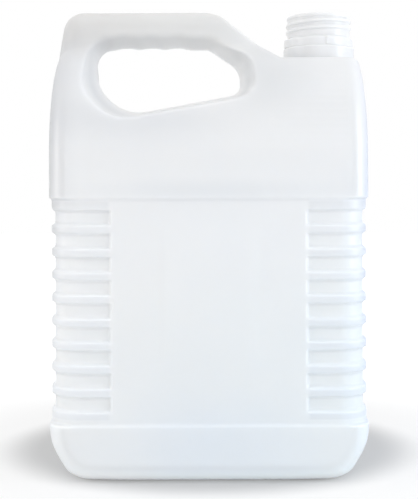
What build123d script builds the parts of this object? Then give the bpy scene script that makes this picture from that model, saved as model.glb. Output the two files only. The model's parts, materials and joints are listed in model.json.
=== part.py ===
from build123d import *
from math import asin, atan, atan2, cos, degrees, hypot, radians, sin, tan
import os

# A one-piece blow-moulded jug: a hollow body with a dished handle eye, an open neck at the
# other end of the shoulder, a sunken label zone and rib pockets that wrap round both sides.
# Millimetres. X runs along the wide face towards the neck, the front face looks along -Y,
# and Z is up from the surface that the jug stands on. The origin is under its middle.
# Every form is drawn once with an inset: nothing for the outside, the wall for the hollow.
# The hollow takes straight bevels where the outside is rounded. A drop is measured down from
# the top of the handle, an inset or a lead along X from the piece that it follows.

# Overall form
body_width = 190.4
body_depth = 125.0
overall_height = 286.6
wall = 1.3

# Side view: upright faces, then a domed shoulder that runs up into the upright handle
dome_start_drop = 93.6
dome_end_drop = 18.9
handle_flare_radius = 7.0
handle_thickness = 36.0
handle_crown_radius = 14.5
corner_radius = 13.0
bevel_share = 0.65

# Neck, with its heights measured up from the shoulder
neck_edge_gap = 0.9
neck_height = 30.0
neck_root_radius = 20.0
neck_wall = 1.7
neck_lip_overhang = 0.35
neck_lip_depth = 2.0
neck_band_overhang = 2.0
neck_band_start = 9.4
neck_band_height = 6.0
neck_collar_overhang = 0.7
neck_collar_wall = 2.3
neck_sink = 6.0
neck_edge_bevel = 0.6

# Front view: the leaning back of the handle, the fall from handle to shoulder, the lower corners
lean_drop = 36.6
lean_radius = 134.0
shoulder_drop = 32.6
shoulder_edge_radius = 4.0
fall_inset = 45.9
fall_angle = 38.5
fall_lead_angle = 19.0
fall_lead_length = 10.0
lower_corner_radius = 26.0
toe_start = 48.0
toe_angle = 1.3

# Handle eye at the middle plane of the jug
handle_back_width = 23.3
grip_height = 23.5
eye_height = 45.7
eye_right_lead = 17.5
eye_slant_lead = 2.7
eye_slant_angle = 34.4
eye_floor_angle = 10.3
eye_diagonal_height = 22.1
eye_diagonal_run = 17.4
eye_diagonal_upper_radius = 22.0
eye_diagonal_lower_radius = 27.0
eye_left_upper_radius = 10.4
eye_right_lower_radius = 6.8
eye_right_upper_radius = 13.0
eye_slant_radius = 7.0

# How far the eye opens out on each side towards both faces, and how soon
eye_growth_top = 12.0
eye_growth_floor = 7.0
eye_growth_left = 4.0
eye_growth_right = 8.0
eye_half_growth_distance = 19.0
eye_station_count = 8
hollow_station_shares = (0.4, 0.75, 1.0, 1.5, 2.3)

# Finger scallops under the grip: as many as find room between the eye's two upper corners
scallop_pitch = 16.1
scallop_left_gap = 11.5
scallop_right_gap = 12.0
scallop_depth = 1.3
scallop_crest_radius = 6.0

# Sunken label zone and rib pockets, as many as find room
zone_bottom = 34.6
zone_top_drop = 119.1
zone_sink = 0.7
zone_corner_radius = 18.0
pocket_pitch = 13.67
pocket_top_gap = 11.1
pocket_bottom_gap = 12.0
pocket_floor_height = 7.4
pocket_depth = 2.1
pocket_wall_run = 1.0
pocket_side_width = 38.2
pocket_end_run = 1.4

# Base
pushup_height = 4.0
pushup_margin = 20.0
pushup_corner_radius = 16.0
pushup_slope = 45.0

# How far a cut runs on past what it cuts
overrun = 5.0

# Places that follow from these sizes
half_width = body_width / 2
half_depth = body_depth / 2
half_grip = handle_thickness / 2
shoulder_height = overall_height - shoulder_drop
dome_start_height = overall_height - dome_start_drop
dome_end_height = overall_height - dome_end_drop
lean_start_height = overall_height - lean_drop
zone_top = overall_height - zone_top_drop
neck_band_radius = neck_root_radius + neck_band_overhang
neck_collar_radius = neck_band_radius + neck_collar_overhang
neck_bore_radius = neck_root_radius - neck_wall
neck_throat_radius = neck_collar_radius - neck_collar_wall
neck_rim_height = shoulder_height + neck_height
neck_band_bottom = shoulder_height + neck_band_start
neck_band_top = neck_band_bottom + neck_band_height
neck_centre = half_width - neck_edge_gap - neck_collar_radius
fall_start = neck_centre - neck_collar_radius - fall_inset
eye_left = handle_back_width - half_width
eye_right = fall_start + eye_right_lead
eye_slant_start = fall_start - eye_slant_lead
eye_top = overall_height - grip_height
eye_floor_height = eye_top - eye_height
scallop_start = eye_left + scallop_left_gap
scallop_room = eye_slant_start - scallop_right_gap - scallop_start
scallop_count = max(1, int(scallop_room / scallop_pitch))
pocket_top_centre = zone_top - pocket_top_gap
pocket_room = pocket_top_centre - zone_bottom - pocket_bottom_gap
pocket_count = 1 + int(pocket_room / pocket_pitch)


def side_view(inset):
    """The side view of the body, drawn from the middle plane outwards and mirrored."""
    depth = half_depth - inset
    grip = half_grip - inset
    top = overall_height - inset
    flare = handle_flare_radius + inset
    crown = handle_crown_radius - inset
    run = half_depth - half_grip
    rise = dome_end_height - dome_start_height
    both_radii = (run**2 + rise**2) / (2 * run)
    dome = both_radii - flare
    turn_angle = degrees(atan2(rise, both_radii - run))
    with BuildSketch(Plane.YZ.offset(-half_width + inset)) as sketch:
        with BuildLine():
            Polyline((0, inset), (depth, inset), (depth, dome_start_height))
            CenterArc((depth - dome, dome_start_height), dome, 0, turn_angle)
            CenterArc((grip + flare, dome_end_height), flare, 180 + turn_angle, -turn_angle)
            Line((grip, dome_end_height), (grip, top - crown))
            CenterArc((grip - crown, top - crown), crown, 0, 90)
            Polyline((grip - crown, top), (0, top), (0, inset))
        make_face()
        mirror(about=Plane.YZ)
    return sketch.sketch


def front_view(inset):
    """The front view of the body up to the handle's back, before the fall to the shoulder."""
    half = half_width - inset
    lean = lean_radius - inset
    corner = lower_corner_radius - inset
    reach = overall_height + overrun
    toe_lift = (half - toe_start) * tan(radians(toe_angle))
    lean_turn = degrees(asin((reach - lean_start_height) / lean))
    with BuildSketch(Plane.XZ) as sketch:
        with BuildLine():
            FilletPolyline(
                (-half, lean_start_height),
                (-half, inset + toe_lift),
                (-toe_start, inset),
                (toe_start, inset),
                (half, inset + toe_lift),
                (half, reach),
                radius=[corner, 0, 0, corner],
            )
            back = CenterArc((lean - half, lean_start_height), lean, 180, -lean_turn)
            Line(back @ 1, (half, reach))
        make_face()
    return sketch.sketch


def above_fall(inset):
    """Everything above the fall from the handle to the shoulder plane round the neck."""
    lead_drop = fall_lead_length * sin(radians(fall_lead_angle))
    lead_run = fall_lead_length * cos(radians(fall_lead_angle))
    fall_drop = overall_height - lead_drop - shoulder_height
    fall_run = fall_drop / tan(radians(fall_angle))
    lead_start = fall_start - lead_run / 2
    fall_end = lead_start + lead_run + fall_run
    reach = half_width + overrun
    back_off = overrun / tan(radians(fall_lead_angle))
    with BuildSketch(Plane.XZ) as sketch:
        Polygon(
            (lead_start - back_off, overall_height + overrun),
            (lead_start + lead_run, overall_height - lead_drop),
            (fall_end, shoulder_height),
            (reach, shoulder_height),
            (reach, overall_height + overrun),
            align=None,
        )
        if inset > 0:
            offset(amount=inset, kind=Kind.INTERSECTION)
    return sketch.sketch


def eye_section(distance, inset):
    """The eye's outline at a distance from the middle plane, grown by its flare and the inset."""
    share = distance**2 / (distance**2 + eye_half_growth_distance**2)
    top = eye_growth_top * share + inset
    left = eye_growth_left * share + inset
    right = eye_growth_right * share + inset
    floor = eye_growth_floor * share + inset
    floor_slope = tan(radians(eye_floor_angle))
    top_edge = eye_top + top
    left_edge = eye_left - left
    right_edge = eye_right + right
    left_floor = eye_floor_height - left * floor_slope - floor
    right_floor = left_floor + (right_edge - left_edge) * floor_slope
    slant_start = eye_slant_start + top * tan(radians(eye_slant_angle / 2))
    slant_end = top_edge - (right_edge - slant_start) * tan(radians(eye_slant_angle))
    crests = [scallop_start + scallop_pitch * k for k in range(scallop_count + 1)]
    with BuildSketch(Plane.XZ.offset(distance)) as sketch:
        with BuildLine():
            FilletPolyline(
                (crests[-1], top_edge),
                (slant_start, top_edge),
                (right_edge, slant_end),
                (right_edge, right_floor),
                (left_edge + eye_diagonal_run, left_floor + eye_diagonal_run * floor_slope),
                (left_edge, eye_floor_height + eye_diagonal_height - floor),
                (left_edge, top_edge),
                (crests[0], top_edge),
                radius=[
                    eye_slant_radius + top,
                    eye_right_upper_radius + right,
                    eye_right_lower_radius + right,
                    eye_diagonal_lower_radius,
                    eye_diagonal_upper_radius,
                    eye_left_upper_radius + left,
                ],
            )
            for start, end in zip(crests[:-1], crests[1:]):
                hollow = ((start + end) / 2, top_edge + scallop_depth)
                ThreePointArc((start, top_edge), hollow, (end, top_edge))
        make_face()
        for crest in crests[1:-1]:
            point = sketch.vertices().sort_by_distance((crest, top_edge))[0]
            fillet(point, radius=scallop_crest_radius + top)
    return sketch.sketch


def eye(inset):
    """The eye through the jug, narrowest at the middle plane and flared towards both faces."""
    reach = half_depth + 2 * overrun
    if inset > 0:
        places = [half_grip * share for share in hollow_station_shares] + [reach]
    else:
        places = [reach * (k + 1) / eye_station_count for k in range(eye_station_count)]
    stations = [-place for place in reversed(places)] + [0] + places
    with BuildPart() as part:
        loft([eye_section(station, inset) for station in stations], ruled=inset > 0)
    return part.part


def in_order(edges):
    """The same edges in an order that doesn't change from run to run."""
    return sorted(edges, key=lambda edge: [round(value, 3) for value in (edge.length, *edge.center())])


def soften(edges, radius, inset):
    """Rounded edges on the outside, straight bevels in the hollow."""
    if inset > 0:
        chamfer(in_order(edges), length=radius * bevel_share)
    else:
        fillet(in_order(edges), radius=radius)


def block(inset):
    """The body and handle as one rounded block, before the eye is opened."""
    with BuildPart() as part:
        extrude(side_view(inset), amount=body_width - 2 * inset)
        extrude(front_view(inset), amount=body_depth, both=True, mode=Mode.INTERSECT)
        rising = part.edges().filter_by(Axis.X, reverse=True).filter_by(Axis.Y, reverse=True)
        lowest = part.edges().filter_by(Axis.X).group_by(Axis.Z)[0]
        soften(rising + lowest, corner_radius, inset)
        extrude(above_fall(inset), amount=body_depth, both=True, mode=Mode.SUBTRACT)
        cut_faces = part.faces(Select.LAST).filter_by(GeomType.PLANE)
        falling = [face for face in cut_faces if face.normal_at().Z > abs(face.normal_at().Y)]
        edges = ShapeList(falling).edges().filter_by(Axis.Y, reverse=True)
        soften(edges, shoulder_edge_radius, inset)
    return part.part


def zone_outline(depth, height, inset):
    """A level outline of the zone at a depth under its surface, with three chords to a corner inside."""
    half_x = half_width - zone_sink - depth - inset
    half_y = half_depth - zone_sink - depth - inset
    radius = zone_corner_radius - depth - inset
    with BuildSketch(Plane.XY.offset(height)) as sketch:
        if inset > 0:
            turns = [radians(angle) for angle in (0, 30, 60, 90)]
            corner = [(half_x - radius * (1 - cos(t)), half_y - radius * (1 - sin(t))) for t in turns]
            right = [(x, -y) for x, y in corner[::-1]] + corner
            Polygon(*right, *[(-x, y) for x, y in right[::-1]], align=None)
        else:
            RectangleRounded(2 * half_x, 2 * half_y, radius)
    return sketch.sketch


def outside_sunken_zone(inset):
    """What the sunken zone with its rounder corners takes off all round the lower body."""
    with BuildPart() as part:
        with BuildSketch(Plane.XY.offset(zone_bottom - inset)):
            Rectangle(body_width + overrun, body_depth + overrun)
        extrude(amount=zone_top - zone_bottom + 2 * inset)
        extrude(zone_outline(0, zone_bottom - overrun, inset), amount=zone_top, mode=Mode.SUBTRACT)
    return part.part


def pocket_ring(height, inset):
    """One pocket as a ring at its height round the sunken zone, before it is kept to the sides."""
    widening = inset * (hypot(pocket_wall_run, pocket_depth) - pocket_wall_run) / pocket_depth
    floor_half = pocket_floor_height / 2 + widening
    mouth_half = floor_half + pocket_wall_run
    slope = degrees(atan(pocket_depth / pocket_wall_run))
    with BuildPart() as part:
        with BuildSketch(Plane.XY.offset(height - mouth_half)):
            Rectangle(body_width + overrun, body_depth + overrun)
        extrude(amount=2 * mouth_half)
        core = zone_outline(pocket_depth, height - mouth_half, inset)
        extrude(core, amount=2 * mouth_half, mode=Mode.SUBTRACT)
        upper = zone_outline(0, height + mouth_half, inset)
        extrude(upper, amount=-pocket_wall_run, taper=slope, mode=Mode.SUBTRACT)
        lower = zone_outline(0, height - mouth_half, inset)
        extrude(lower, amount=pocket_wall_run, taper=slope, mode=Mode.SUBTRACT)
    return part.part


def pocket_sides(inset):
    """The two side regions that hold the pockets, with slanted ends beside both labels."""
    surface = half_depth - zone_sink
    floor = surface - pocket_depth
    floor_end = half_width - pocket_side_width + pocket_end_run - inset
    outer_end = floor_end - pocket_end_run * (1 + overrun / pocket_depth)
    reach = half_width + 2 * overrun
    with BuildPart() as part:
        with BuildSketch(Plane.XY.offset(zone_bottom)):
            Polygon(
                (outer_end, -surface - overrun),
                (floor_end, -floor),
                (floor_end, floor),
                (outer_end, surface + overrun),
                (reach, surface + overrun),
                (reach, -surface - overrun),
                align=None,
            )
            mirror(about=Plane.YZ)
        extrude(amount=zone_top - zone_bottom)
    return part.part


def rib_pockets(inset):
    """All the pockets between the ribs, from each label edge round the narrow side."""
    with BuildPart() as part:
        for level in range(pocket_count):
            add(pocket_ring(pocket_top_centre - pocket_pitch * level, inset))
        add(pocket_sides(inset), mode=Mode.INTERSECT)
    return part.part


def pushed_up_base(inset):
    """The shallow pushed-up panel that leaves a rim for the jug to stand on."""
    spread = inset / sin(radians(pushup_slope))
    width = body_width - 2 * pushup_margin + 2 * spread
    depth = body_depth - 2 * pushup_margin + 2 * spread
    with BuildPart() as part:
        with BuildSketch(Plane.XY):
            RectangleRounded(width, depth, pushup_corner_radius + spread)
        extrude(amount=pushup_height + inset, taper=pushup_slope)
    return part.part


def body(inset):
    """The whole body form: the block less its eye, sunken zone, pockets and pushed-up base."""
    with BuildPart() as part:
        add(block(inset))
        add(eye(inset), mode=Mode.SUBTRACT)
        add(outside_sunken_zone(inset), mode=Mode.SUBTRACT)
        add(rib_pockets(inset), mode=Mode.SUBTRACT)
        add(pushed_up_base(inset), mode=Mode.SUBTRACT)
    return part.part


def neck():
    """The neck on its collar: collar, band, plain barrel and a slightly wider lip."""
    lip_radius = neck_root_radius + neck_lip_overhang
    with BuildPart() as part:
        with BuildSketch(Plane.XZ):
            with BuildLine():
                Polyline(
                    (neck_centre, shoulder_height - neck_sink),
                    (neck_centre + neck_collar_radius, shoulder_height - neck_sink),
                    (neck_centre + neck_collar_radius, neck_band_bottom),
                    (neck_centre + neck_band_radius, neck_band_bottom),
                    (neck_centre + neck_band_radius, neck_band_top),
                    (neck_centre + neck_root_radius, neck_band_top),
                    (neck_centre + neck_root_radius, neck_rim_height - neck_lip_depth),
                    (neck_centre + lip_radius, neck_rim_height - neck_lip_depth),
                    (neck_centre + lip_radius, neck_rim_height),
                    (neck_centre, neck_rim_height),
                    close=True,
                )
            make_face()
        revolve(axis=Axis((neck_centre, 0, 0), (0, 0, 1)))
        crown = part.edges().filter_by(GeomType.CIRCLE).group_by(Axis.Z)[-1]
        chamfer(crown, length=neck_edge_bevel)
    return part.part


def neck_bore():
    """The open way through the neck, wider behind the band and the collar."""
    step = neck_throat_radius - neck_bore_radius
    with BuildPart() as part:
        with BuildSketch(Plane.XZ):
            with BuildLine():
                Polyline(
                    (neck_centre, shoulder_height - neck_sink - overrun),
                    (neck_centre + neck_throat_radius, shoulder_height - neck_sink - overrun),
                    (neck_centre + neck_throat_radius, neck_band_bottom - step),
                    (neck_centre + neck_bore_radius, neck_band_bottom),
                    (neck_centre + neck_bore_radius, neck_rim_height + overrun),
                    (neck_centre, neck_rim_height + overrun),
                    close=True,
                )
            make_face()
        revolve(axis=Axis((neck_centre, 0, 0), (0, 0, 1)))
    return part.part


# The jug: the outside and the neck, less the hollow and the bore
with BuildPart() as jug:
    add(body(0))
    add(neck())
    add(body(wall), mode=Mode.SUBTRACT)
    add(neck_bore(), mode=Mode.SUBTRACT)

os.makedirs("parts", exist_ok=True)
jug.part.label = "jug"
export_step(jug.part, "parts/jug.step")
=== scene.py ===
import json
import math

import bmesh
import bpy
import numpy as np
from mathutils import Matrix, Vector


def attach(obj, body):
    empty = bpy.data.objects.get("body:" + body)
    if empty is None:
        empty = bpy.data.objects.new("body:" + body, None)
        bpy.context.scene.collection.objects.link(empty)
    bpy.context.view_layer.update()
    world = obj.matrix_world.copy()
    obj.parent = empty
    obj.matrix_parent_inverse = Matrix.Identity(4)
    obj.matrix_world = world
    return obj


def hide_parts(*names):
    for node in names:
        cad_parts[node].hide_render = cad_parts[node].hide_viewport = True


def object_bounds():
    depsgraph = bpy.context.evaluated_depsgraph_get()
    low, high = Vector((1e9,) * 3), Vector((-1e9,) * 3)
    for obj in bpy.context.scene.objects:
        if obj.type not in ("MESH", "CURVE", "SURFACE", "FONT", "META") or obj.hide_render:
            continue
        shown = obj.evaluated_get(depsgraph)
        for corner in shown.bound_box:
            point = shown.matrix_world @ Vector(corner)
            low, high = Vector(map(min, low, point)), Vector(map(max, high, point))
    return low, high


# A milky one-piece plastic jug on a white floor. Metres, in the row's frame: X towards the neck, the front
# face looks along -Y, and Z is up from the floor.

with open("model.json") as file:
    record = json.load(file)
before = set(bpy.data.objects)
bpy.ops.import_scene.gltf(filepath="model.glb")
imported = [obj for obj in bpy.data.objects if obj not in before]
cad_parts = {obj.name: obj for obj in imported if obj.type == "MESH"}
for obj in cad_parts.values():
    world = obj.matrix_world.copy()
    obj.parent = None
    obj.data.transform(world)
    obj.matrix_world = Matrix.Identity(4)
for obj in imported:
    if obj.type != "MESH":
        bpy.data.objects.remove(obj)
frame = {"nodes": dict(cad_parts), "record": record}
cad_low, cad_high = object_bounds()
jug_node = frame["nodes"]["jug"]
neck_mount = next(m for m in frame["record"]["mounts"] if m["name"] == "neck_bore")
MM = 0.001

# Places round the neck: the axis, the bore and the neck's length taken from the frame, the rest given
neck_x = neck_mount["pos_m"][0]
bore_radius = neck_mount["dims"]["r_mm"] * MM
neck_top = 284.0 * MM
neck_bottom = neck_top - neck_mount["dims"]["length_mm"] * MM
shoulder = 254.0 * MM
throat_radius = 20.4 * MM

# Both skins are remeshed at this size, then smoothed and thinned out
weld_distance = 0.001 * MM
face_margin = 0.1 * MM
skin_voxel = 0.7 * MM
skin_smoothing_rounds = 3
rim_smoothing_rounds = 90
outer_triangles = 112_000
inner_triangles = 30_000

# How far the skins are opened round the neck: above the shoulder, beyond the collar, and round the throat
opening_over_shoulder = 0.8 * MM
opening_past_collar = 0.6 * MM
opening_under_neck = 5.0 * MM
opening_past_throat = 1.2 * MM

# The eye with its rims, which blowing leaves far rounder than the rest
rim_left = -84.0 * MM
rim_right = 34.0 * MM
rim_bottom = 208.0 * MM
rim_top = 277.0 * MM
rim_blend = 6.0 * MM
rim_start_depth = 9.0 * MM
rim_share_steps = 20

# The label panels stand out a little in their middle, and the lower corners draw in
panel_half_width = 24.0 * MM
panel_middle = 106.0 * MM
panel_half_height = 28.0 * MM
panel_side_blend = 7.0 * MM
panel_end_blend = 24.0 * MM
panel_bulge = 0.55 * MM
panel_start_depth = 57.8 * MM
panel_depth_blend = 2.0 * MM
drawn_in = 2.2 * MM
drawn_in_bottom = 2.5 * MM
drawn_in_middle = 13.0 * MM
drawn_in_top = 33.0 * MM
drawn_in_start = 45.0 * MM
drawn_in_end = 92.0 * MM

# Neck finish, from the collar's top upwards
collar_radius = 22.7 * MM
collar_edge = 0.7 * MM
band_radius = 22.0 * MM
band_full_height = 4.9 * MM
band_height = 6.6 * MM
root_radius = 20.0 * MM
lip_radius = 20.35 * MM
lip_depth = 2.0 * MM
lip_step_lead = 0.4 * MM
lip_step = 0.6 * MM
lip_rounding = 0.8 * MM
lip_inner_rounding = 0.5 * MM
thread_pitch = 4.3 * MM
thread_height = 1.0 * MM
thread_half_width = 1.5 * MM
thread_steepness = 1.35
thread_start_turn = -0.3
thread_end_turn = 1.75
thread_run_out_turns = 0.1
thread_height_at_left = 10.5 * MM
ratchet_count = 4
ratchet_first_angle = math.radians(-83.0)
ratchet_height = 0.7 * MM
ratchet_span = math.radians(32.0)
ratchet_face_span = math.radians(2.0)
ratchet_top_blend = 1.2 * MM
ratchet_foot_blend = 0.5 * MM

# The rings of points that the neck is made of
neck_columns = 240
neck_row_step = 0.25 * MM
collar_foot_sink = 1.8 * MM
collar_ring_shares = (0.7, 0.35)
fine_rings_start = -1.0 * MM
lip_outer_rings = 6
lip_inner_rings = 5
throat_clearance = 0.2 * MM
throat_length = 5.0 * MM

# Camera, as the photograph was taken, with the picture's size and horizon in its pixels
picture_width = 418
picture_height = 499
horizon_row = 189.0
axis_column = 208.65
focal_pixels = 942.0
camera_distance = 612.0 * MM
camera_height = 173.0 * MM
camera_roll = math.radians(0.2)
sensor_size = 36.0

# The floor shows as white paper beyond the jug's shadow. Close round the foot the camera sees a weakened
# real shadow under a painted shadow, whose soft edge lies on ovals round the foot, where the floor glows
# less.
# The steps are how many ovals away from the centre a point is, and how bright the floor glows there.
floor_reach = 3.0
floor_gap = 0.05 * MM
floor_white = 0.82
floor_seen = 0.38
painted_shadow_centre = 25.0 * MM
painted_shadow_half_width = 119.0 * MM
painted_shadow_half_depth = 93.0 * MM
painted_shadow_glow_steps = [(0.93, 0.244), (1.26, 0.58), (2.6, 0.704), (10.4, 0.85)]

# Even light all round, and lamps: place, width and height in metres, watts and colour
room_light = 0.8
lamp_target = (0.0, 0.0, 0.15)
lamps = {
    "top_lamp": ((0.0, -0.1, 1.2), 1.2, 1.0, 2.0, (1.0, 1.0, 1.0)),
    "front_lamp": ((0.0, -1.5, 0.5), 1.4, 0.8, 3.0, (1.0, 1.0, 1.0)),
    "left_lamp": ((-0.95, -0.32, 0.2), 0.14, 0.9, 2.0, (1.0, 0.98, 0.96)),
    "right_lamp": ((0.93, -0.36, 0.2), 0.25, 0.9, 4.2, (0.84, 0.92, 1.0)),
}

# Painted light and shade, in patches that darken, lighten or tint the colour where light and shade fall:
# painted shade, some of it bluer, on the lower band, just above the panel's top ledge, round the handle's
# root and top, under, left and right of the eye, over the whole upper part, along both side edges and
# towards the lower right; and painted light in the eye's inside, at the neck and on the foot's rounding.
# Each has its centre and reach in millimetres, its tint and its strength.
painted_light_patches = [
    ((0.0, 0.0, 24.0), (95.0, 130.0, 50.0), (0.86, 0.885, 0.93, 1.0), 0.9),
    ((0.0, -62.0, 172.0), (110.0, 30.0, 10.0), (0.91, 0.92, 0.93, 1.0), 0.8),
    ((-80.0, 0.0, 238.0), (36.0, 90.0, 50.0), (0.85, 0.865, 0.90, 1.0), 0.9),
    ((-84.0, 0.0, 284.0), (60.0, 90.0, 60.0), (0.94, 0.925, 0.91, 1.0), 0.9),
    ((-20.0, 0.0, 282.0), (120.0, 90.0, 46.0), (0.89, 0.88, 0.86, 1.0), 0.9),
    ((0.0, 0.0, 300.0), (400.0, 400.0, 212.0), (0.775, 0.78, 0.785, 1.0), 0.95),
    ((-98.0, 0.0, 205.0), (26.0, 200.0, 150.0), (0.78, 0.79, 0.81, 1.0), 0.9),
    ((-50.0, 0.0, 213.0), (90.0, 200.0, 24.0), (0.88, 0.89, 0.91, 1.0), 0.9),
    ((35.0, 0.0, 240.0), (45.0, 200.0, 30.0), (0.86, 0.87, 0.88, 1.0), 0.9),
    ((-12.0, 0.0, 240.0), (112.0, 28.0, 64.0), (1.6, 1.58, 1.54, 1.0), 1.0),
    ((72.0, 0.0, 274.0), (46.0, 46.0, 34.0), (1.09, 1.085, 1.085, 1.0), 1.0),
    ((97.0, 0.0, 100.0), (28.0, 200.0, 160.0), (0.90, 0.93, 0.97, 1.0), 0.9),
    ((-102.0, 0.0, 150.0), (16.0, 200.0, 220.0), (0.42, 0.44, 0.44, 1.0), 0.9),
    ((102.0, 0.0, 150.0), (16.0, 200.0, 220.0), (0.35, 0.42, 0.66, 1.0), 0.9),
    ((60.0, 0.0, 0.0), (260.0, 300.0, 260.0), (0.85, 0.925, 1.0, 1.0), 1.0),
    ((0.0, 0.0, -2.0), (400.0, 300.0, 12.0), (1.18, 1.16, 1.14, 1.0), 1.0),
]

# Painted shade on the ribs between the pockets, a little darker and bluer, and painted light on the
# pockets' floors
rib_top = 163.24 * MM
rib_pitch = 13.67 * MM
rib_half_height = 2.4 * MM
rib_start = 57.0 * MM
rib_zone_bottom = 38.0 * MM
rib_zone_top = 167.5 * MM
rib_edge = 0.7 * MM
rib_side_edge = 3.0 * MM
rib_painted_shade = (0.925, 0.93, 0.938, 1.0)
pocket_painted_light = (1.015, 1.02, 1.03, 1.0)


def smooth_step(value):
    """A smooth rise from 0 to 1 as the value goes from 0 to 1."""
    t = np.clip(value, 0.0, 1.0)
    return t * t * (3.0 - 2.0 * t)


def neck_distance(point):
    """How far a point is from the neck's axis."""
    return math.hypot(point.x - neck_x, point.y)


def connected_faces(bm):
    """The faces of a mesh in groups that hang together."""
    unseen = set(bm.faces)
    groups = []
    while unseen:
        group = [unseen.pop()]
        for face in group:
            for edge in face.edges:
                for other in edge.link_faces:
                    if other in unseen:
                        unseen.discard(other)
                        group.append(other)
        groups.append(group)
    return groups


def is_neck_outside(face):
    """Whether a face lies outside on the neck, above the collar."""
    centre = face.calc_center_median()
    past_bore = neck_distance(centre) > bore_radius + face_margin
    within_collar = neck_distance(centre) < collar_radius + face_margin
    return centre.z > neck_bottom - face_margin and past_bore and within_collar


def skin_copy(name, outer):
    """A closed copy of the jug's outer or inner skin, parted outside on the neck above the collar."""
    bm = bmesh.new()
    bm.from_mesh(jug_node.data)
    bmesh.ops.remove_doubles(bm, verts=bm.verts, dist=weld_distance)
    neck_outside = [face for face in bm.faces if is_neck_outside(face)]
    bmesh.ops.delete(bm, geom=neck_outside, context="FACES")
    groups = connected_faces(bm)
    kept = max if outer else min
    skin = set(kept(groups, key=lambda group: max(face.calc_center_median().x for face in group)))
    bmesh.ops.delete(bm, geom=[face for face in bm.faces if face not in skin], context="FACES")
    rim = [edge for edge in bm.edges if len(edge.link_faces) == 1]
    bmesh.ops.contextual_create(bm, geom=rim)
    mesh = bpy.data.meshes.new(name)
    bm.to_mesh(mesh)
    bm.free()
    piece = bpy.data.objects.new(name, mesh)
    bpy.context.scene.collection.objects.link(piece)
    return piece


def apply_modifiers(piece):
    """Puts the result of a piece's modifiers into its mesh."""
    evaluated = piece.evaluated_get(bpy.context.evaluated_depsgraph_get())
    mesh = bpy.data.meshes.new_from_object(evaluated)
    piece.modifiers.clear()
    old = piece.data
    piece.data = mesh
    bpy.data.meshes.remove(old)


def add_smoothing(piece, rounds, group=""):
    """A smoothing modifier, over the whole piece or over a group of its points."""
    smooth = piece.modifiers.new("smooth", "SMOOTH")
    smooth.factor = 0.5
    smooth.iterations = rounds
    smooth.vertex_group = group


def mesh_points(piece):
    """The places of a piece's points as rows of x, y and z."""
    points = np.empty(3 * len(piece.data.vertices))
    piece.data.vertices.foreach_get("co", points)
    return points.reshape(-1, 3)


def within(value, low, high, blend):
    """A share that is 1 between two limits and falls smoothly to 0 outside them."""
    return smooth_step((value - low) / blend + 1.0) * smooth_step((high - value) / blend + 1.0)


def mark_rims(piece):
    """Puts the points round the handle eye into a group, with a share in each for how much it counts."""
    points = mesh_points(piece)
    share = within(points[:, 0], rim_left, rim_right, rim_blend)
    share *= within(points[:, 2], rim_bottom, rim_top, rim_blend)
    share *= smooth_step((np.abs(points[:, 1]) - rim_start_depth) / rim_blend)
    group = piece.vertex_groups.new(name="rims")
    steps = np.round(share * rim_share_steps).astype(int)
    for step in range(1, rim_share_steps + 1):
        chosen = np.nonzero(steps == step)[0].tolist()
        group.add(chosen, step / rim_share_steps, "REPLACE")


def settle_form(piece):
    """Draws in the lower corners and lets the label panels stand out, as blown walls settle."""
    points = mesh_points(piece)
    x, y, z = points.T
    lower = smooth_step((z - drawn_in_bottom) / (drawn_in_middle - drawn_in_bottom))
    upper = smooth_step((drawn_in_top - z) / (drawn_in_top - drawn_in_middle))
    side = smooth_step((np.abs(x) - drawn_in_start) / (drawn_in_end - drawn_in_start))
    panel = within(np.abs(x), 0.0, panel_half_width, panel_side_blend)
    panel *= within(np.abs(z - panel_middle), 0.0, panel_half_height, panel_end_blend)
    panel *= smooth_step((np.abs(y) - panel_start_depth) / panel_depth_blend)
    points[:, 0] = x - np.sign(x) * drawn_in * lower * upper * side
    points[:, 1] = y + np.sign(y) * panel_bulge * panel
    piece.data.vertices.foreach_set("co", points.ravel())
    piece.data.update()


def soften_skin(piece, triangles):
    """Rounds every edge of a skin the way blown plastic does, most of all round the eye."""
    remesh = piece.modifiers.new("remesh", "REMESH")
    remesh.mode = "VOXEL"
    remesh.voxel_size = skin_voxel
    add_smoothing(piece, skin_smoothing_rounds)
    apply_modifiers(piece)
    mark_rims(piece)
    add_smoothing(piece, rim_smoothing_rounds, "rims")
    apply_modifiers(piece)
    settle_form(piece)
    thin = piece.modifiers.new("thin", "DECIMATE")
    thin.ratio = triangles / (2 * len(piece.data.polygons))
    apply_modifiers(piece)
    piece.vertex_groups.clear()


def open_at_neck(piece, bottom, radius):
    """Takes away the part of a skin that the neck's own piece shows, above a height and within a radius."""
    bm = bmesh.new()
    bm.from_mesh(piece.data)
    inside = [
        face
        for face in bm.faces
        if face.calc_center_median().z > bottom and neck_distance(face.calc_center_median()) < radius
    ]
    bmesh.ops.delete(bm, geom=inside, context="FACES")
    bm.to_mesh(piece.data)
    bm.free()


def neck_profile(height):
    """The neck's plain outside radius at a height over the collar's top, without thread and ratchet."""
    top = neck_top - neck_bottom
    radius = band_radius + (collar_radius - band_radius) * smooth_step(-height / collar_edge)
    slope = (height - band_full_height) / (band_height - band_full_height)
    radius = radius + (root_radius - band_radius) * smooth_step(slope)
    lip = smooth_step((height - (top - lip_depth - lip_step_lead)) / lip_step)
    return radius + (lip_radius - root_radius) * lip


def thread_relief(angle, height):
    """How far the thread stands out at an angle round the neck and a height over the collar's top."""
    relief = np.zeros_like(height)
    first_turn = math.floor(thread_start_turn) - 1
    last_turn = math.ceil(thread_end_turn) + 1
    for turn in range(first_turn, last_turn + 1):
        turns = turn + (angle + math.pi) / math.tau
        crest = thread_height_at_left + thread_pitch * turns
        fade = smooth_step((turns - thread_start_turn) / thread_run_out_turns)
        fade = fade * smooth_step((thread_end_turn - turns) / thread_run_out_turns)
        flank = 1.0 - np.abs(height - crest) / thread_half_width
        relief = np.maximum(relief, thread_height * fade * smooth_step(thread_steepness * flank))
    return relief


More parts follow.
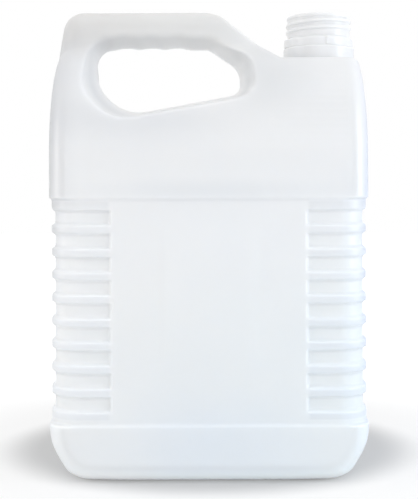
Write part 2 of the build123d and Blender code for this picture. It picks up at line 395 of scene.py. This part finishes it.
def ratchet_relief(angle, height):
    """How far the ratchet teeth stand out on the band: steep on the left, sloping off to the right."""
    relief = np.zeros_like(height)
    for tooth in range(ratchet_count):
        start = ratchet_first_angle + math.tau * tooth / ratchet_count
        past = (angle - start + math.pi) % math.tau - math.pi
        rise = smooth_step((past + ratchet_face_span) / ratchet_face_span)
        fall = 1.0 - np.clip(past / ratchet_span, 0.0, 1.0)
        relief = np.maximum(relief, np.where(past < ratchet_span, ratchet_height * rise * fall, 0.0))
    top = smooth_step((band_height - height) / ratchet_top_blend)
    foot = smooth_step(height / ratchet_foot_blend)
    return relief * top * foot


def neck_rows():
    """The neck's rings from the collar's foot over the lip to the throat: part, radius and height."""
    top = neck_top - neck_bottom
    foot = shoulder - neck_bottom
    coarse = [foot - collar_foot_sink] + [share * foot for share in collar_ring_shares]
    heights = np.concatenate([coarse, np.arange(fine_rings_start, top - lip_rounding, neck_row_step)])
    rows = [("outside", neck_profile(h), h) for h in heights]
    for turn in np.linspace(0.0, math.pi / 2, lip_outer_rings):
        radius = lip_radius - lip_rounding * (1.0 - math.cos(turn))
        rows.append(("lip", radius, top - lip_rounding * (1.0 - math.sin(turn))))
    for turn in np.linspace(0.0, math.pi / 2, lip_inner_rings):
        radius = bore_radius + lip_inner_rounding * (1.0 - math.sin(turn))
        rows.append(("lip", radius, top - lip_inner_rounding * (1.0 - math.cos(turn))))
    throat_ring = throat_radius - throat_clearance
    throat_start = bore_radius - throat_radius
    rows.append(("bore", bore_radius, top - 2.0 * lip_inner_rounding))
    rows.append(("bore", bore_radius, 0.5 * top))
    rows.append(("bore", bore_radius, 0.0))
    rows.append(("bore", throat_ring, throat_start))
    rows.append(("bore", throat_ring, throat_start - throat_length))
    return rows


def make_neck():
    """The neck's mesh: collar, band with ratchet teeth, right-handed thread, lip, bore and throat."""
    angles = np.arange(neck_columns) * math.tau / neck_columns - math.pi
    points = []
    for part, radius, height in neck_rows():
        ring = np.full(neck_columns, radius)
        level = np.full(neck_columns, height)
        if part == "outside":
            ring = ring + thread_relief(angles, level) + ratchet_relief(angles, level)
        x = neck_x + ring * np.cos(angles)
        y = ring * np.sin(angles)
        points.append(np.stack([x, y, neck_bottom + level], 1))
    rows = len(points)
    faces = []
    for row in range(rows - 1):
        for column in range(neck_columns):
            after = (column + 1) % neck_columns
            low = row * neck_columns
            high = low + neck_columns
            faces.append((low + column, low + after, high + after, high + column))
    mesh = bpy.data.meshes.new("neck")
    mesh.from_pydata(np.concatenate(points).tolist(), [], faces)
    piece = bpy.data.objects.new("neck", mesh)
    bpy.context.scene.collection.objects.link(piece)
    return piece


def join_pieces(name, pieces):
    """One mesh object from several, each kept where it is."""
    bm = bmesh.new()
    for piece in pieces:
        bm.from_mesh(piece.data)
        mesh = piece.data
        bpy.data.objects.remove(piece)
        bpy.data.meshes.remove(mesh)
    joined = bpy.data.meshes.new(name)
    bm.to_mesh(joined)
    bm.free()
    joined.shade_smooth()
    piece = bpy.data.objects.new(name, joined)
    bpy.context.scene.collection.objects.link(piece)
    return piece


def new_material(name):
    """A node material with only a Principled shader and its output."""
    material = bpy.data.materials.new(name)
    material.use_nodes = True
    return material, material.node_tree.nodes, material.node_tree.links


def soft_patch(nodes, links, place, centre, reach):
    """A soft round patch, 1 in its middle and 0 at its reach along each axis."""
    mapping = nodes.new("ShaderNodeMapping")
    mapping.vector_type = "POINT"
    mapping.inputs["Scale"].default_value = tuple(1.0 / (r * MM) for r in reach)
    mapping.inputs["Location"].default_value = tuple(-c / r for c, r in zip(centre, reach))
    links.new(place.outputs["Object"], mapping.inputs["Vector"])
    ball = nodes.new("ShaderNodeTexGradient")
    ball.gradient_type = "SPHERICAL"
    links.new(mapping.outputs["Vector"], ball.inputs["Vector"])
    ease = nodes.new("ShaderNodeMapRange")
    ease.interpolation_type = "SMOOTHSTEP"
    links.new(ball.outputs["Fac"], ease.inputs["Value"])
    return ease.outputs["Result"]


def worked_out(nodes, links, operation, *values):
    """The result of a calculation with numbers and the outputs of other nodes."""
    node = nodes.new("ShaderNodeMath")
    node.operation = operation
    for entry, value in zip(node.inputs, values):
        if isinstance(value, float):
            entry.default_value = value
        else:
            links.new(value, entry)
    return node.outputs["Value"]


def spread_between(nodes, links, value, low, high, at_low, at_high):
    """Goes smoothly from one value to another while the input goes from low to high."""
    spread = nodes.new("ShaderNodeMapRange")
    spread.interpolation_type = "SMOOTHSTEP"
    spread.inputs["From Min"].default_value = low
    spread.inputs["From Max"].default_value = high
    spread.inputs["To Min"].default_value = at_low
    spread.inputs["To Max"].default_value = at_high
    links.new(value, spread.inputs["Value"])
    return spread.outputs["Result"]


def tinted(nodes, links, colour, patch, tint, strength):
    """A colour multiplied by a tint where a patch lies."""
    mix = nodes.new("ShaderNodeMix")
    mix.data_type = "RGBA"
    mix.blend_type = "MULTIPLY"
    mix.inputs["B"].default_value = tint
    links.new(worked_out(nodes, links, "MULTIPLY", patch, strength), mix.inputs["Factor"])
    links.new(colour, mix.inputs["A"])
    return mix.outputs["Result"]


def rib_shares(nodes, links, place):
    """Two shares: 1 on the ribs between the pockets, and 1 on the pockets, each 0 elsewhere."""
    axes = nodes.new("ShaderNodeSeparateXYZ")
    links.new(place.outputs["Object"], axes.inputs["Vector"])
    height = axes.outputs["Z"]
    below_top = worked_out(nodes, links, "SUBTRACT", height, rib_top)
    from_rib = worked_out(nodes, links, "PINGPONG", below_top, rib_pitch / 2)
    rib_low = rib_half_height - rib_edge
    rib_high = rib_half_height + rib_edge
    on_rib = spread_between(nodes, links, from_rib, rib_low, rib_high, 1.0, 0.0)
    aside = worked_out(nodes, links, "ABSOLUTE", axes.outputs["X"])
    zone = spread_between(nodes, links, aside, rib_start, rib_start + rib_side_edge, 0.0, 1.0)
    for level, at_low, at_high in ((rib_zone_bottom, 0.0, 1.0), (rib_zone_top, 1.0, 0.0)):
        side = spread_between(nodes, links, height, level - rib_edge, level + rib_edge, at_low, at_high)
        zone = worked_out(nodes, links, "MULTIPLY", zone, side)
    rib = worked_out(nodes, links, "MULTIPLY", zone, on_rib)
    return rib, worked_out(nodes, links, "SUBTRACT", zone, rib)


def milky_plastic():
    """Natural high-density polyethylene: milky, light passes into it, its colour uneven at random, with
    painted light and shade in patches and on the ribs and pockets.
    """
    material, nodes, links = new_material("milky_plastic")
    shader = nodes["Principled BSDF"]
    shader.inputs["Roughness"].default_value = 0.32
    shader.inputs["IOR"].default_value = 1.54
    shader.inputs["Subsurface Weight"].default_value = 0.9
    shader.inputs["Subsurface Radius"].default_value = (1.0, 0.97, 0.93)
    shader.inputs["Subsurface Scale"].default_value = 2.5 * MM
    place = nodes.new("ShaderNodeTexCoord")
    cloud = nodes.new("ShaderNodeTexNoise")
    cloud.inputs["Scale"].default_value = 16.0
    cloud.inputs["Detail"].default_value = 3.0
    links.new(place.outputs["Object"], cloud.inputs["Vector"])
    tone = nodes.new("ShaderNodeValToRGB")
    tone.color_ramp.elements[0].position = 0.35
    tone.color_ramp.elements[0].color = (0.92, 0.926, 0.937, 1.0)
    tone.color_ramp.elements[1].position = 0.65
    tone.color_ramp.elements[1].color = (0.94, 0.94, 0.942, 1.0)
    links.new(cloud.outputs["Fac"], tone.inputs["Fac"])
    colour = tone.outputs["Color"]
    # Painted light and shade: each patch darkens, lightens or tints the colour where light and shade fall.
    for centre, reach, tint, strength in painted_light_patches:
        patch = soft_patch(nodes, links, place, centre, reach)
        colour = tinted(nodes, links, colour, patch, tint, strength)
    # Painted shade on the ribs and painted light on the pockets' floors.
    rib, pocket = rib_shares(nodes, links, place)
    colour = tinted(nodes, links, colour, rib, rib_painted_shade, 1.0)
    colour = tinted(nodes, links, colour, pocket, pocket_painted_light, 1.0)
    links.new(colour, shader.inputs["Base Color"])
    grain = nodes.new("ShaderNodeTexNoise")
    grain.inputs["Scale"].default_value = 900.0
    grain.inputs["Detail"].default_value = 4.0
    links.new(place.outputs["Object"], grain.inputs["Vector"])
    bump = nodes.new("ShaderNodeBump")
    bump.inputs["Strength"].default_value = 0.12
    bump.inputs["Distance"].default_value = 0.1 * MM
    links.new(grain.outputs["Fac"], bump.inputs["Height"])
    links.new(bump.outputs["Normal"], shader.inputs["Normal"])
    return material


def seen_rays(nodes, links):
    """1 for rays of the camera, of reflections and of clear views through things, and 0 for all others."""
    ray = nodes.new("ShaderNodeLightPath")
    either = worked_out(nodes, links, "MAXIMUM", ray.outputs["Is Camera Ray"], ray.outputs["Is Glossy Ray"])
    return worked_out(nodes, links, "MAXIMUM", either, ray.outputs["Is Transmission Ray"])


def white_floor():
    """A white floor that keeps the jug's real shadow, with a painted soft shadow round the foot where it
    glows less, and turns into plain white further away.
    """
    material, nodes, links = new_material("white_floor")
    shader = nodes["Principled BSDF"]
    shader.inputs["Roughness"].default_value = 0.9
    shader.inputs["Specular IOR Level"].default_value = 0.0
    seen = seen_rays(nodes, links)
    tone = spread_between(nodes, links, seen, 0.0, 1.0, floor_white, floor_seen)
    links.new(tone, shader.inputs["Base Color"])
    # Painted shadow: the glow grows on ovals away from the foot, so the floor is darker close to the jug.
    place = nodes.new("ShaderNodeTexCoord")
    oval = nodes.new("ShaderNodeMapping")
    oval.inputs["Location"].default_value = (0.0, -painted_shadow_centre / painted_shadow_half_depth, 0.0)
    oval.inputs["Scale"].default_value = (1.0 / painted_shadow_half_width, 1.0 / painted_shadow_half_depth, 1.0)
    links.new(place.outputs["Object"], oval.inputs["Vector"])
    reach = nodes.new("ShaderNodeVectorMath")
    reach.operation = "LENGTH"
    links.new(oval.outputs["Vector"], reach.inputs[0])
    rise = painted_shadow_glow_steps[0][1]
    for (start, darker), (end, lighter) in zip(painted_shadow_glow_steps, painted_shadow_glow_steps[1:]):
        more = spread_between(nodes, links, reach.outputs["Value"], start, end, 0.0, lighter - darker)
        rise = worked_out(nodes, links, "ADD", rise, more)
    glow = nodes.new("ShaderNodeEmission")
    glow.inputs["Color"].default_value = (1.0, 1.0, 1.0, 1.0)
    links.new(worked_out(nodes, links, "MULTIPLY", seen, rise), glow.inputs["Strength"])
    both = nodes.new("ShaderNodeAddShader")
    links.new(shader.outputs["BSDF"], both.inputs[0])
    links.new(glow.outputs["Emission"], both.inputs[1])
    links.new(both.outputs["Shader"], nodes["Material Output"].inputs["Surface"])
    return material


def make_floor():
    """A wide floor under the jug."""
    mesh = bpy.data.meshes.new("floor")
    signs = [(-1.0, -1.0), (1.0, -1.0), (1.0, 1.0), (-1.0, 1.0)]
    corners = [(floor_reach * x_sign, floor_reach * y_sign, 0.0) for x_sign, y_sign in signs]
    mesh.from_pydata(corners, [], [(0, 1, 2, 3)])
    floor = bpy.data.objects.new("floor", mesh)
    floor.location.z = cad_low.z - floor_gap
    floor.data.materials.append(white_floor())
    bpy.context.scene.collection.objects.link(floor)


def make_world():
    """Even soft light all round, and a white background for the camera and for reflections."""
    world = bpy.data.worlds.new("studio")
    bpy.context.scene.world = world
    world.use_nodes = True
    nodes = world.node_tree.nodes
    links = world.node_tree.links
    room = nodes["Background"]
    room.inputs["Color"].default_value = (1.0, 1.0, 1.0, 1.0)
    room.inputs["Strength"].default_value = room_light
    white = nodes.new("ShaderNodeBackground")
    white.inputs["Color"].default_value = (1.0, 1.0, 1.0, 1.0)
    white.inputs["Strength"].default_value = 1.0
    mixed = nodes.new("ShaderNodeMixShader")
    links.new(seen_rays(nodes, links), mixed.inputs["Fac"])
    links.new(room.outputs["Background"], mixed.inputs[1])
    links.new(white.outputs["Background"], mixed.inputs[2])
    links.new(mixed.outputs["Shader"], nodes["World Output"].inputs["Surface"])


def make_lamps():
    """Soft boxes above, before, left and right of the jug, the right one slightly blue."""
    for name, (place, width, height, watts, colour) in lamps.items():
        light = bpy.data.lights.new(name, "AREA")
        light.color = colour
        light.shape = "RECTANGLE"
        light.size = width
        light.size_y = height
        light.energy = watts
        lamp = bpy.data.objects.new(name, light)
        lamp.location = place
        lamp.rotation_euler = (Vector(lamp_target) - Vector(place)).to_track_quat("-Z", "Y").to_euler()
        bpy.context.scene.collection.objects.link(lamp)


def make_camera():
    """A level camera in front of the jug, with its shift taking the horizon to the photograph's row."""
    data = bpy.data.cameras.new("camera")
    data.sensor_width = sensor_size
    data.lens = sensor_size * focal_pixels / picture_height
    data.shift_y = -(picture_height / 2 - horizon_row) / picture_height
    data.shift_x = (picture_width / 2 - axis_column) / picture_height
    camera = bpy.data.objects.new("camera", data)
    camera.location = (0.0, -camera_distance, camera_height)
    camera.rotation_euler = (math.pi / 2, camera_roll, 0.0)
    bpy.context.scene.collection.objects.link(camera)
    bpy.context.scene.camera = camera


outer_skin = skin_copy("outer_skin", True)
soften_skin(outer_skin, outer_triangles)
open_at_neck(outer_skin, shoulder + opening_over_shoulder, collar_radius + opening_past_collar)
inner_skin = skin_copy("inner_skin", False)
soften_skin(inner_skin, inner_triangles)
open_at_neck(inner_skin, neck_bottom - opening_under_neck, throat_radius + opening_past_throat)
jug = join_pieces("jug_body", [outer_skin, inner_skin, make_neck()])
jug.data.materials.append(milky_plastic())
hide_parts("jug")
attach(jug, "root")

make_floor()
make_world()
make_lamps()
make_camera()
bpy.context.scene.view_settings.view_transform = "Standard"
